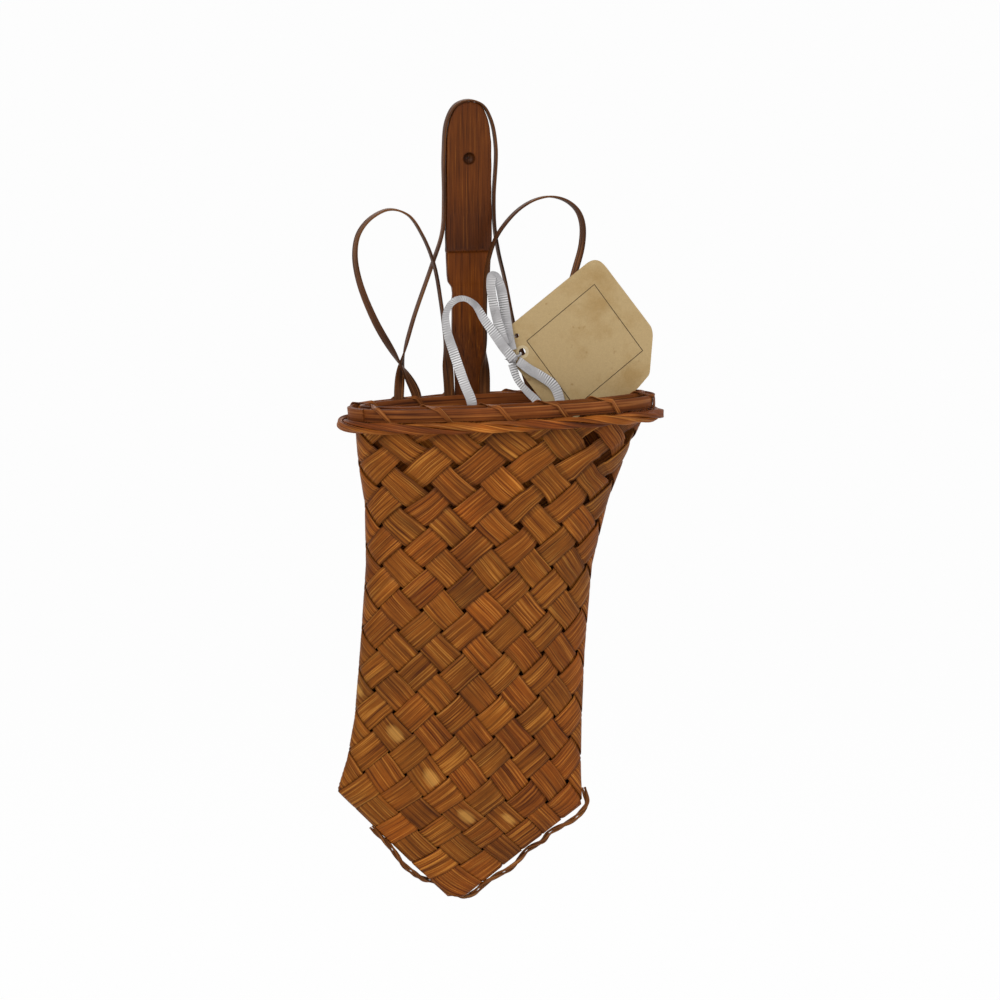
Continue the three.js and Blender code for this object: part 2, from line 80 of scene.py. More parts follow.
lamp("lamp_key", (-0.85, -1.55, 0.75), 1.1, 21, (1.0, 0.98, 0.95))
lamp("lamp_fill", (1.5, -1.2, 0.1), 1.4, 8, (0.97, 0.98, 1.0))
lamp("lamp_back", (0.3, 1.3, 0.9), 1.2, 8, (1.0, 1.0, 1.0))


def add_node(tree, kind, inputs=(), **fields):
    """Adds a node, sets its fields, and gives each named input a value or a wire."""
    node = tree.nodes.new(kind)
    for field, value in fields.items():
        setattr(node, field, value)
    for key, value in dict(inputs).items():
        if isinstance(value, bpy.types.NodeSocket):
            tree.links.new(value, node.inputs[key])
        else:
            node.inputs[key].default_value = value
    return node


def flow(tree, kind, inputs=(), **fields):
    return add_node(tree, kind, inputs, **fields).outputs[0]


def calc(tree, operation, *values):
    return flow(tree, "ShaderNodeMath", enumerate(values), operation=operation)


def times(tree, first, second):
    return calc(tree, "MULTIPLY", first, second)


def seen_directly(tree):
    path = tree.nodes.new("ShaderNodeLightPath").outputs
    seen = calc(tree, "MAXIMUM", path["Is Camera Ray"], path["Is Glossy Ray"])
    return calc(tree, "MAXIMUM", seen, path["Is Transmission Ray"])


def new_material(name):
    material = bpy.data.materials.new(name)
    material.use_nodes = True
    return material, material.node_tree, material.node_tree.nodes["Principled BSDF"]


world = bpy.data.worlds.new("white_room")
world.use_nodes = True
scene.world = world
room = world.node_tree
room.nodes.clear()
daylight = flow(room, "ShaderNodeBackground", {"Color": (0.97, 0.98, 1.0, 1), "Strength": 0.42})
backdrop = flow(room, "ShaderNodeBackground", {"Color": (1, 1, 1, 1), "Strength": 1.0})
either = flow(room, "ShaderNodeMixShader", {0: seen_directly(room), 1: daylight, 2: backdrop})
add_node(room, "ShaderNodeOutputWorld", {"Surface": either})

floor_mesh = bpy.data.meshes.new("floor")
floor_corners = [(x * FLOOR_HALF, y * FLOOR_HALF, FLOOR_Z) for x, y in ((-1, -1), (1, -1), (1, 1), (-1, 1))]
floor_mesh.from_pydata(floor_corners, [], [(0, 1, 2, 3)])
floor = new_object("floor", floor_mesh)
floor_paint, paint, floor_skin = new_material("white_floor")
floor_skin.inputs["Base Color"].default_value = (0.86, 0.86, 0.86, 1)
floor_skin.inputs["Roughness"].default_value = 0.9
glow = flow(paint, "ShaderNodeEmission")
floor_mix = flow(paint, "ShaderNodeMixShader", {
    0: times(paint, seen_directly(paint), 0.97), 1: floor_skin.outputs[0], 2: glow})
paint.links.new(floor_mix, paint.nodes["Material Output"].inputs["Surface"])
floor_mesh.materials.append(floor_paint)


# Splints: twelve flat strips of stained wood, about 13 mm wide and half a millimetre thick, plaited over one
# and under one. Each comes down one face from the rim, folds round the V bottom and climbs the other face.
MM = 0.001
FOLDS = 6
BACK_Y = -10.5
RIM_Z = -116.0
SPLINT_T = 0.46
SPLINT_HALF = 0.0064
WEAVE_HEIGHT = 0.48
WEAVE_EASE = 0.13
# Level (crossings above the tip), half width, half depth, middle X, height Z, sideways slope, width over pitch.
WALL = np.array([
    [0, 3.5, 2.4, -9.4, -361.5, -0.06, 0.9],
    [6, 62.65, 9.5, -8.8, -310, -0.081, 0.885],
    [7.5, 59.71, 12.02, -7.2, -292.93, -0.07, 0.87],
    [9.5, 57.85, 15.49, -6, -271.59, -0.06, 0.86],
    [13, 57, 20, -4.8, -233.95, -0.04, 0.85],
    [17, 57.34, 23.5, -2.3, -191.08, -0.02, 0.84],
    [20, 61.76, 26.5, 0.9, -159.07, 0, 0.82],
    [22, 67.88, 29.5, 3, -137.53, 0.013, 0.8],
    [24, 74, 32.5, 6.8, -116, 0.026, 0.77],
    [25, 76.01, 33.5, 7.5, -105.52, 0.026, 0.77],
])
ARC_STEPS = 120
# The splints end at this level under the rim, a little past their last crossing; the fold needs closer rows.
END_LEVEL = 23.5
END_PAST = 0.395
ROWS_PER_CROSSING = 12
FOLD_RUN = 0.4
# The strips are wider to the left; on the front, at Y below this, they are thinner at the upper right.
FRONT_Y = -36
WIDEST_HALF = 0.465
THIN_X = 36
THIN_Z = -156
THINNEST = 0.30
# Spots on the front, X and Z, where the strips have pulled apart and left a wider gap.
LOOSE = [(-32.5, -152.6), (19, -152.4), (6.2, -163.7), (-46.4, -137.2), (-49, -121)]
LOOSE_SHARE = 0.45
LOOSE_AREA = 120
# Crossings on the front where the stain has rubbed off: splint, crossing along it, shift along it, size.
RUBBED = [(2, 6, -0.12, 0.34), (2, 4, -0.2, 0.36), (2, 2, -0.1, 0.34), (3, 1, -0.1, 0.26), (2, 8, -0.1, 0.24)]


def wall_sizes(level):
    return [np.interp(level, WALL[:, 0], WALL[:, column]) for column in range(1, 7)]


def wall_point(side, across, level):
    """Points on the wall's middle surface in mm; side 1 is the front, across runs from -1 to 1."""
    half_x, half_y, mid_x, z, slope, _ = wall_sizes(level)
    angle = np.linspace(math.pi, 2 * math.pi, ARC_STEPS + 1)
    ex = half_x[..., None] * np.cos(angle)
    ey = half_y[..., None] * np.sin(angle)
    steps = np.hypot(np.diff(ex, axis=-1), np.diff(ey, axis=-1))
    run = np.concatenate([np.zeros(steps.shape[:-1] + (1,)), np.cumsum(steps, axis=-1)], axis=-1)
    wanted = np.clip((across + 1) / 2, 0, 1) * run[..., -1]
    after = np.clip((run < wanted[..., None]).sum(axis=-1), 1, ARC_STEPS)[..., None]
    low, high = ([np.take_along_axis(values, after + k, -1)[..., 0] for values in (run, ex, ey)]
                 for k in (-1, 0))
    part = (wanted - low[0]) / (high[0] - low[0])
    x, y = (low[k] + (high[k] - low[k]) * part for k in (1, 2))
    return np.stack([mid_x + x, BACK_Y - half_y + side * y, z + slope * x], axis=-1)


def woven_point(side, p, q):
    """The plaiting grid: past a side edge a splint goes on round the other face."""
    level = p + q
    x = p - q
    for _ in range(3):
        over = np.abs(x) > FOLDS
        x = np.where(over, np.sign(x) * 2 * FOLDS - x, x)
        side = np.where(over, -side, side)
    return wall_point(side, x / np.clip(level, 0.01, FOLDS), level)


def splint_place(turn, own, run):
    side = np.where(run < 0, 1.0, -1.0)
    own = np.clip(own, 0.012, None)
    reach = np.abs(run)
    return woven_point(side, own, reach) if turn > 0 else woven_point(side, reach, own)


def unit(vectors):
    return vectors / np.maximum(np.linalg.norm(vectors, axis=-1, keepdims=True), 1e-9)


def grown(value, low, over):
    """0 up to low, then growing to 1 over a distance."""
    return np.clip((value - low) / over, 0, 1)


def waves(run, *terms):
    """A sum of waves, each with its height, rate and start."""
    return sum(height * np.sin(run * rate + start) for height, rate, start in terms)


def run_along(points):
    """The distance covered at each point of a path."""
    return np.concatenate([[0], np.cumsum(np.linalg.norm(np.diff(points, axis=0), axis=-1))])


def set_attribute(mesh, name, kind, values):
    data = mesh.attributes.new(name, kind, "POINT").data
    field = "vector" if kind == "FLOAT_VECTOR" else "value"
    data.foreach_set(field, np.ascontiguousarray(values, dtype=np.float32).ravel())


def splint_half(own, run, middle_line):
    """Half the width of a splint, in crossings, before its unevenness."""
    x, y, z = middle_line.T
    thinned = grown(x, THIN_X, 10) * grown(z, THIN_Z, 10) * grown(-z, -RIM_Z, 5)
    for loose_x, loose_z in LOOSE:
        thinned = thinned + LOOSE_SHARE * np.exp(-((x - loose_x) ** 2 + (z - loose_z) ** 2) / LOOSE_AREA)
    thinned = np.where(y < FRONT_Y, thinned, 0)
    half = wall_sizes(own + np.abs(run))[5] / 2
    half = np.minimum(half * (1 + 0.055 * np.clip((45 - x) / 50, 0.2, 1)), WIDEST_HALF)
    return half * (1 - THINNEST * thinned)


def splint_mesh(index, turn, seed):
    chance = np.random.default_rng(seed)
    own = index + 0.5
    end = END_LEVEL - index + END_PAST
    coarse = np.linspace(-end, end, int(end * 2 * ROWS_PER_CROSSING))
    run = np.concatenate([coarse[coarse < -FOLD_RUN], np.linspace(-FOLD_RUN, FOLD_RUN, 27),
                          coarse[coarse > FOLD_RUN]])
    columns = np.linspace(-1, 1, 9)
    half = splint_half(own, run, splint_place(turn, np.full(run.shape, own), run))
    phase = chance.uniform(0, 6.28, 4)
    uneven = (1 - 2 * half) / 0.15
    half = half * (1 + uneven * waves(run, (0.034, 1.9, phase[0]), (0.022, 4.7, phase[1])))
    shift = uneven * waves(run, (0.022, 1.3, phase[2]), (0.014, 3.4, phase[3]))
    lateral = own + shift[:, None] + half[:, None] * columns
    grid = np.broadcast_to(run[:, None], lateral.shape)
    spots = splint_place(turn, lateral, grid)
    step = 0.09
    forward = splint_place(turn, lateral, grid + step) - splint_place(turn, lateral, grid - step)
    sideways = splint_place(turn, lateral + step, grid) - splint_place(turn, lateral - step, grid)
    out = unit(np.cross(forward, sideways))
    _, half_y, mid_x, z, _, _ = wall_sizes(lateral + np.abs(grid))
    inner_line = np.stack([mid_x, BACK_Y - half_y, z], axis=-1)
    if np.median((out * (spots - inner_line)).sum(axis=-1)) < 0:
        out = -out
    order = np.arange(lateral.size).reshape(lateral.shape)
    quads = np.stack([order[:-1, :-1], order[1:, :-1], order[1:, 1:], order[:-1, 1:]], axis=-1).reshape(-1, 4)
    mesh = bpy.data.meshes.new("splint")
    mesh.from_pydata((spots.reshape(-1, 3) * MM).tolist(), [], quads.tolist())
    along = run_along(spots[:, 4]) * MM
    tone = chance.uniform(0.88, 1.12) + waves(run, (0.10, 0.9, phase[1]), (0.08, 2.3, phase[0]))
    # The stain came out redder on some splints, on their right part and towards the tip.
    red = chance.uniform(-0.25, 0.45) + waves(run, (0.35, 0.7, phase[2]))
    red = red[:, None] + 0.5 * grown(spots[..., 0], 20, 60) + 0.5 * grown(-spots[..., 2], 315, 40)
    wear = np.zeros(lateral.shape)
    for splint, crossing, shifted, size in RUBBED:
        if turn > 0 and splint == index:
            far = np.hypot((lateral - own - 0.06) / 0.55, (-grid - crossing - 0.5 - shifted) / 1.15) / size
            wear = np.maximum(wear, np.clip(1.7 - 1.2 * far, 0, 1))
    set_attribute(mesh, "out", "FLOAT_VECTOR", out)
    for name, values in (("run", grid), ("along", along[:, None] + seed * 1.7),
                         ("across", columns * SPLINT_HALF), ("edge", np.abs(columns)),
                         ("tone", tone[:, None]), ("red", np.clip(red, 0, 1)), ("wear", wear)):
        set_attribute(mesh, name, "FLOAT", np.broadcast_to(values, lateral.shape))
    return mesh


def new_tree(name, inputs):
    """A node tree for geometry, with what it is given and its group output."""
    tree = bpy.data.node_groups.new(name, "GeometryNodeTree")
    for label, kind in [("Geometry", "Geometry")] + inputs:
        tree.interface.new_socket(label, in_out="INPUT", socket_type="NodeSocket" + kind)
    tree.interface.new_socket("Geometry", in_out="OUTPUT", socket_type="NodeSocketGeometry")
    return tree, tree.nodes.new("NodeGroupInput").outputs, tree.nodes.new("NodeGroupOutput")


def plus(tree, first, second):
    return calc(tree, "ADD", first, second)


def stored(tree, name, kind="FLOAT"):
    return flow(tree, "GeometryNodeInputNamedAttribute", {"Name": name}, data_type=kind)


def store(tree, geometry, name, value):
    return flow(tree, "GeometryNodeStoreNamedAttribute", {"Geometry": geometry, "Name": name, "Value": value},
                data_type="FLOAT", domain="POINT")


def finish_tree(tree, geometry, material, group_out):
    geometry = flow(tree, "GeometryNodeSetShadeSmooth", {"Geometry": geometry})
    geometry = flow(tree, "GeometryNodeSetMaterial", {"Geometry": geometry, "Material": material})
    tree.links.new(geometry, group_out.inputs["Geometry"])


# The weave rule: a splint stands out by the weave height over one crossing and dips by it under the next.
weave_tree, given, weave_out = new_tree("over_one_under_one", [
    ("Weave Height", "Float"), ("Ease", "Float"), ("First Side", "Float"), ("Stain", "Material")])
tree = weave_tree
wave = calc(tree, "SINE", times(tree, stored(tree, "run"), math.pi))
ease_sq = times(tree, given["Ease"], given["Ease"])
below = calc(tree, "SQRT", plus(tree, times(tree, wave, wave), ease_sq))
above = calc(tree, "SQRT", plus(tree, ease_sq, 1.0))
shaped = times(tree, calc(tree, "DIVIDE", wave, below), above)
lift = times(tree, shaped, given["First Side"])
push = flow(tree, "ShaderNodeVectorMath", {
    0: stored(tree, "out", "FLOAT_VECTOR"), "Scale": times(tree, lift, given["Weave Height"])},
    operation="SCALE")
lifted = store(tree, given["Geometry"], "lift", lift)
moved = flow(tree, "GeometryNodeSetPosition", {"Geometry": lifted, "Offset": push})
finish_tree(tree, moved, given["Stain"], weave_out)


def srgb(red, green, blue):
    parts = [v / 255 for v in (red, green, blue)]
    return tuple(v / 12.92 if v <= 0.04045 else ((v + 0.055) / 1.055) ** 2.4 for v in parts) + (1.0,)


def mixed(tree, blend, share, first, second):
    return add_node(tree, "ShaderNodeMix", {0: share, 6: first, 7: second},
                    data_type="RGBA", blend_type=blend).outputs[2]


def shaded(tree, colour, shade):
    """A colour made darker or paler by a number."""
    grey = flow(tree, "ShaderNodeCombineColor", {channel: shade for channel in range(3)})
    return mixed(tree, "MULTIPLY", 1.0, colour, grey)


def spread(tree, value, low, high, to_low, to_high):
    return flow(tree, "ShaderNodeMapRange", {
        "Value": value, "From Min": low, "From Max": high, "To Min": to_low, "To Max": to_high})


def noise(tree, vector, scale, detail, roughness=0.55):
    return flow(tree, "ShaderNodeTexNoise", {
        "Vector": vector, "Scale": scale, "Detail": detail, "Roughness": roughness})


def ramp(tree, value, stops):
    colours = add_node(tree, "ShaderNodeValToRGB", {"Fac": value})
    strip = colours.color_ramp
    while len(strip.elements) < len(stops):
        strip.elements.new(0.5)
    for element, (place, colour) in zip(strip.elements, stops):
        element.position = place
        element.color = colour
    return colours.outputs["Color"]


def attribute(tree, name):
    return add_node(tree, "ShaderNodeAttribute", attribute_name=name).outputs["Fac"]


def own_place(tree):
    return tree.nodes.new("ShaderNodeTexCoord").outputs["Object"]


def surface(tree, skin, colour, rough, height, strength, distance, **numbers):
    """Wires colour, roughness and a fine relief into the skin and sets its other numbers."""
    relief = flow(tree, "ShaderNodeBump", {"Height": height, "Strength": strength, "Distance": distance})
    for label, outlet in (("Base Color", colour), ("Roughness", rough), ("Normal", relief)):
        tree.links.new(outlet, skin.inputs[label])
    for label, number in numbers.items():
        skin.inputs[label.replace("_", " ")].default_value = number


def grained_strip(name, dark, plain, light, fibre=1250, plaited=False):
    """Stained split wood, fibres along the strip, darker towards the edges; painted shade darkens the splints'
    dips.
    """
    material, tree, skin = new_material(name)
    dark, plain, light = srgb(*dark), srgb(*plain), srgb(*light)
    place = flow(tree, "ShaderNodeCombineXYZ", {
        0: attribute(tree, "across"), 1: times(tree, attribute(tree, "along"), 0.014)})
    broad = noise(tree, place, fibre, 2, 0.6)
    fine = noise(tree, place, fibre * 2.1, 2, 0.6)
    streak = plus(tree, times(tree, broad, 0.6), times(tree, fine, 0.4))
    colour = ramp(tree, streak, [(0.39, dark), (0.475, plain), (0.53, plain), (0.61, light)])
    shade = spread(tree, noise(tree, own_place(tree), 55, 3), 0.3, 0.7, 0.80, 1.14)
    shade = times(tree, shade, attribute(tree, "tone"))
    shade = times(tree, shade, spread(tree, attribute(tree, "edge"), 0.92, 1.0, 1.0, 0.72))
    if plaited:
        # Painted shade: a plaited splint is darkened where it dips under a crossing.
        shade = times(tree, shade, spread(tree, attribute(tree, "lift"), -0.5, 0.2, 0.74, 1.0))
        split = calc(tree, "ABSOLUTE", calc(tree, "SUBTRACT", noise(tree, place, 260, 1), 0.5))
        shade = times(tree, shade, spread(tree, split, 0.0, 0.05, 0.66, 1.0))
    colour = shaded(tree, colour, shade)
    if plaited:
        colour = mixed(tree, "MULTIPLY", attribute(tree, "red"), colour, (1.0, 0.80, 0.66, 1))
        rubbed = plus(tree, attribute(tree, "wear"), times(tree, broad, 0.9))
        patch = spread(tree, rubbed, 0.66, 1.40, 0.0, 0.54)
        patch = times(tree, patch, spread(tree, attribute(tree, "lift"), 0.3, 0.9, 0.0, 1.0))
        colour = mixed(tree, "MIX", patch, colour, srgb(210, 154, 76))
    rough = spread(tree, streak, 0.35, 0.65, 0.72, 0.46)
    surface(tree, skin, colour, rough, streak, 0.5, 0.0003, Specular_IOR_Level=0.14)
    return material


def run_tree(piece, tree, values):
    live = piece.modifiers.new(tree.name, "NODES")
    live.node_group = tree
    for item in tree.interface.items_tree:
        if item.in_out == "INPUT" and item.name in values:
            live[item.identifier] = values[item.name]


def plain_mesh(piece):
    """Bakes the live modifiers into the mesh and takes them off."""
    graph = bpy.context.evaluated_depsgraph_get()
    baked = bpy.data.meshes.new_from_object(
        piece.evaluated_get(graph), preserve_all_data_layers=True, depsgraph=graph)
    baked.name = piece.name
    piece.modifiers.clear()
    piece.data = baked


def on_basket(piece, node):
    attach(piece, "basket")
    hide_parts(node)


splint_stain = grained_strip("splint_stain", (85, 40, 8), (132, 73, 16), (176, 115, 44), plaited=True)
for index in range(FOLDS):
    for turn, word in ((1, "right"), (-1, "left")):
        node = "splint_%s_%d" % (word, index + 1)
        splint = new_object(node + "_plaited", splint_mesh(index, turn, 2 * index + (turn > 0)))
        run_tree(splint, weave_tree, {
            "Weave Height": WEAVE_HEIGHT * MM, "Ease": WEAVE_EASE, "Stain": splint_stain,
            "First Side": float(-turn * (-1) ** index)})
        wall = splint.modifiers.new("thickness", "SOLIDIFY")
        wall.thickness = SPLINT_T * MM
        wall.offset = 0
        plain_mesh(splint)
        on_basket(splint, node)


# Stake: a flat slat of bamboo, 24 mm wide, shaped with a knife: rounded top with the nail hole, the dark band
# of a node at mid height, a notch below it, then a thinner tongue bent in behind the weave under the rim.
STAKE_TOP = 38.4
STAKE_W = 23.6
STAKE_T = 4.0
STAKE_CORNER = 0.9
TONGUE_T = 2.2
TONGUE_GAP = 0.4
NAIL_Z = 10.0
NAIL_D = 1.4
PIT_D = 6.3
PIT_DEPTH = 2.2
WEAVE_HALF = 0.7
# Height Z, share of the width, swell of the front face.
STAKE_OUTLINE = np.array([(STAKE_TOP - down, share, 0) for down, share in (
    (0, 0.2), (0.7, 0.4), (2, 0.55), (4, 0.67), (8.2, 0.82), (13.4, 0.93), (20.4, 0.985))] + [
    (RIM_Z + rise, share, swell) for rise, share, swell in (
        (99, 1, 0), (96, 1, 0.3), (82, 1, 0.6), (79.6, 1.008, 0.9), (78.6, 0.975, 0), (68, 0.932, 0),
        (64, 0.881, 0), (61.5, 0.729, 0), (58, 0.695, 0), (55, 0.72, 0), (46, 0.72, 0), (11, 0.72, 0),
        (-16, 0.703, 0), (-26, 0.627, 0), (-33, 0.424, 0))])
# Height above the rim and how far the slat has bent in to the weave.
TONGUE_BEND = np.array([(-33, 1), (11, 1), (16, 0.92), (22, 0.7), (30, 0.35), (38, 0.1), (46, 0)])
# Distance in front of the back face and diameter; the nail slopes, so the thin hole climbs towards the wall.
HOLE = [(-2 * STAKE_T, NAIL_D), (STAKE_T - PIT_DEPTH, NAIL_D), (STAKE_T - PIT_DEPTH + 0.5, 0.68 * PIT_D),
        (STAKE_T - 0.6, 0.92 * PIT_D), (STAKE_T + 0.1, PIT_D), (2 * STAKE_T, 1.2 * PIT_D)]
NAIL_SLOPE_X = -0.30
NAIL_SLOPE_Z = 0.50


def closed_mesh(name, shell):
    """Turns the faces outward and makes the mesh."""
    bmesh.ops.recalc_face_normals(shell, faces=shell.faces)
    mesh = bpy.data.meshes.new(name)
    shell.to_mesh(mesh)
    shell.free()
    return mesh


def ring_mesh(name, rings):
    """A solid through rings of points in mm, with flat ends."""
    shell = bmesh.new()
    rows = [[shell.verts.new([v * MM for v in spot]) for spot in ring] for ring in rings]
    for low, high in zip(rows, rows[1:]):
        for k in range(len(low)):
            shell.faces.new((low[k - 1], low[k], high[k], high[k - 1]))
    shell.faces.new(rows[0][::-1])
    shell.faces.new(rows[-1])
    return closed_mesh(name, shell)


def stake_rings():
    chance = np.random.default_rng(41)
    top_end = STAKE_TOP - np.array([0, 0.12, 0.35, 0.7, 1.3, 2, 3, 4, 5])
    heights = np.concatenate([top_end, np.linspace(STAKE_TOP - 6, RIM_Z + 80.4, 44)] + [
        RIM_Z + np.linspace(*rows) for rows in ((80, 78.4, 7), (77, 66, 8), (65, 54, 16), (52, -33, 40))])
    upward = STAKE_OUTLINE[::-1]
    half = np.interp(heights, upward[:, 0], upward[:, 1]) * STAKE_W / 2
    swell = np.interp(heights, upward[:, 0], upward[:, 2])
    bend = np.interp(heights - RIM_Z, TONGUE_BEND[:, 0], TONGUE_BEND[:, 1])
    tongue_front = BACK_Y + WEAVE_HALF + TONGUE_GAP
    front = -STAKE_T - swell + (tongue_front + STAKE_T) * bend
    back = (tongue_front + TONGUE_T) * bend
    phase = chance.uniform(0, 6.28, 3)
    uneven = waves(heights, (0.07, 0.21, phase[0]), (0.05, 0.55, phase[1]))
    half = half + np.where(heights < STAKE_TOP - 3, uneven, 0)
    rings = []
    for z, wide, y_front, y_back in zip(heights, half, front, back):
        deep = (y_back - y_front) / 2
        corner = min(STAKE_CORNER, deep * 0.6, wide * 0.6)
        ring = []
        for side_x, side_y, start in ((1, -1, -90), (1, 1, 0), (-1, 1, 90), (-1, -1, 180)):
            for angle in (math.radians(start + step * 30) for step in range(4)):
                ring.append((side_x * (wide - corner) + corner * math.cos(angle),
                             (y_front + y_back) / 2 + side_y * (deep - corner) + corner * math.sin(angle), z))
        rings.append(ring)
    return rings


def circle(x, z, diameter):
    angle = np.arange(40) * 2 * math.pi / 40
    return np.stack([x + diameter / 2 * np.cos(angle), z + diameter / 2 * np.sin(angle)], axis=1)


def hole_rings():
    for deep, diameter in HOLE:
        into = max(STAKE_T - PIT_DEPTH - deep, 0)
        ring = circle(NAIL_SLOPE_X * into, NAIL_Z + NAIL_SLOPE_Z * into, diameter)
        yield [(x, -deep, z) for x, z in ring]


def bamboo(name):
    material, tree, skin = new_material(name)
    spot = own_place(tree)
    stretch = flow(tree, "ShaderNodeMapping", {"Vector": spot, "Scale": (1.0, 0.6, 0.022)})
    strand = noise(tree, stretch, 900, 3, 0.6)
    hair = noise(tree, stretch, 2400, 2)
    streak = plus(tree, times(tree, strand, 0.55), times(tree, hair, 0.45))
    colour = ramp(tree, streak, [(0.34, srgb(56, 24, 6)), (0.46, srgb(90, 44, 10)), (0.56, srgb(101, 51, 13)),
                                 (0.68, srgb(134, 80, 28))])
    cut = add_node(tree, "ShaderNodeSeparateXYZ", {0: spot}).outputs
    band = spread(tree, plus(tree, cut["Z"], times(tree, strand, 0.006)), -0.090, 0.042, 0.0, 1.0)
    # Up the slat: pale at the notch, a crisp dark ridge, the node's brown band, then the plain stained top.
    tint = ramp(tree, band, [
        (0, (0.86, 0.84, 0.8, 1)), (0.22, (1.16, 1.14, 1.04, 1)), (0.33, (1.36, 1.36, 1.2, 1)),
        (0.425, (1.24, 1.2, 1.06, 1)), (0.432, (0.46, 0.42, 0.42, 1)), (0.452, (0.58, 0.54, 0.52, 1)),
        (0.56, (0.74, 0.7, 0.68, 1)), (0.63, (0.92, 0.9, 0.88, 1)), (0.9, (1, 1, 1, 1)),
        (1, (0.84, 0.8, 0.78, 1))])
    colour = mixed(tree, "MULTIPLY", 1.0, colour, tint)
    worn = spread(tree, noise(tree, spot, 60, 3), 0.35, 0.68, 0.88, 1.08)
    # Painted shade: the worn pit round the nail is darkened for the shade inside the hole.
    rise = calc(tree, "SUBTRACT", cut["Z"], NAIL_Z * MM)
    squares = plus(tree, times(tree, cut["X"], cut["X"]), times(tree, rise, rise))
    from_hole = calc(tree, "SQRT", squares)
    pit_shade = spread(tree, from_hole, 0.40 * PIT_D * MM, 0.58 * PIT_D * MM, 0.36, 1.0)
    colour = shaded(tree, colour, times(tree, worn, pit_shade))
    rough = spread(tree, streak, 0.35, 0.65, 0.60, 0.38)
    surface(tree, skin, colour, rough, streak, 0.45, 0.0004, Specular_IOR_Level=0.12)
    return material


stake = new_object("stake_slat", ring_mesh("stake", stake_rings()))
drill = new_object("nail_drill", ring_mesh("nail_drill", hole_rings()))
nail_hole = stake.modifiers.new("nail_hole", "BOOLEAN")
nail_hole.operation = "DIFFERENCE"
nail_hole.object = drill
plain_mesh(stake)
bpy.data.objects.remove(drill)
stake.data.materials.append(bamboo("stained_bamboo"))
stake.data.shade_smooth()
stake.data.set_sharp_from_angle(angle=math.radians(38))
on_basket(stake, "stake")


# Rim hoops: two bent wood strips that clamp the top of the weave between them, one inside and one outside.
# The outer one laps over itself at the front left, where its cut end shows as an upright line.
HOOP_LEVEL = 24.51
HOOP_H = 6.6
RIM_GAP = 0.5
FOOT_GAP = 0.45
STRIP_T = 1.0
HOOP_IN_T = 1.6
HOOP_OUT_T = 1.8
HOOP_OUT_AT = WEAVE_HALF + RIM_GAP + HOOP_OUT_T / 2
HOOP_IN_AT = -(WEAVE_HALF + 2 * FOOT_GAP + STRIP_T + HOOP_IN_T / 2)
# The outer hoop is a thinner strip, set in a little so that its lap has room.
LAP_T = 1.3
LAP_IN = 0.15


def smooth_step(value, low, high):
    part = grown(value, low, high - low)
    return part * part * (3 - 2 * part)


def rim_frame(s, level):
    """Rim position s: 0 to 12 along the back from the left end, 12 to 24 along the front from the right."""
    turn = np.mod(s, 24.0)
    side = np.where(turn <= 12, -1.0, 1.0)
    across = np.where(side < 0, turn / 6 - 1, 3 - turn / 6)
    level = np.broadcast_to(np.asarray(level, dtype=float), turn.shape)
    point = wall_point(side, across, level)
    up = unit(wall_point(side, across, level + 0.3) - wall_point(side, across, level - 0.3))
    half_x, half_y, mid_x, _, _, _ = wall_sizes(level)
    flat = np.stack([(point[:, 0] - mid_x) / half_x ** 2, (point[:, 1] - BACK_Y + half_y) / half_y ** 2,
                     np.zeros_like(turn)], axis=-1)
    out = unit(flat - up * (up * flat).sum(axis=-1, keepdims=True))
    swell = np.where(side < 0, 1 - smooth_step(np.abs(point[:, 0]), 10, 28), 0)
    return point, up, out, swell * (TONGUE_T + TONGUE_GAP + BACK_Y - point[:, 1])


# One bent strip: a rounded flat section is carried along a path, its flat side turned by the face direction.
strip_tree, given, strip_out = new_tree("strip_on_path", [
    ("Width", "Float"), ("Thickness", "Float"), ("Corner", "Float"), ("Grain Start", "Float"),
    ("Wood", "Material")])
tree = strip_tree
line = flow(tree, "GeometryNodeMeshToCurve", {"Mesh": given["Geometry"]})
line = flow(tree, "GeometryNodeSetCurveNormal", {
    "Curve": line, "Normal": stored(tree, "face", "FLOAT_VECTOR")}, mode="FREE")
measure = tree.nodes.new("GeometryNodeSplineParameter").outputs["Length"]
line = store(tree, line, "along", plus(tree, measure, given["Grain Start"]))
section = flow(tree, "GeometryNodeCurvePrimitiveQuadrilateral", {
    "Width": given["Thickness"], "Height": given["Width"]})
section = flow(tree, "GeometryNodeFilletCurve", {
    "Curve": section, "Radius": given["Corner"], "Count": 3, "Limit Radius": True}, mode="POLY")
position = flow(tree, "GeometryNodeInputPosition")
cut = add_node(tree, "ShaderNodeSeparateXYZ", {0: position}).outputs
grain = plus(tree, cut["Y"], times(tree, cut["X"], 0.7))
section = store(tree, section, "across", grain)
half_width = times(tree, given["Width"], 0.5)
side_share = calc(tree, "DIVIDE", calc(tree, "ABSOLUTE", cut["Y"]), half_width)
section = store(tree, section, "edge", side_share)
sweep = flow(tree, "GeometryNodeCurveToMesh", {
    "Curve": line, "Profile Curve": section, "Fill Caps": True})
finish_tree(tree, sweep, given["Wood"], strip_out)


def strip_piece(name, points, face, tone, section, wood, start=0.0, closed=False):
    """A strip bent along points in mm; its section is width, thickness and corner radius."""
    count = len(points)
    edges = [(k, (k + 1) % count) for k in range(count if closed else count - 1)]
    path = bpy.data.meshes.new("strip_path")
    path.from_pydata((np.asarray(points) * MM).tolist(), edges, [])
    set_attribute(path, "face", "FLOAT_VECTOR", face)
    set_attribute(path, "tone", "FLOAT", np.broadcast_to(tone, (count,)))
    piece = new_object(name, path)
    width, thick, corner = (size * MM for size in section)
    run_tree(piece, strip_tree, {
        "Width": width, "Thickness": thick, "Corner": corner, "Grain Start": start, "Wood": wood})
    plain_mesh(piece)
    piece.data.set_sharp_from_angle(angle=math.radians(50))
    return piece


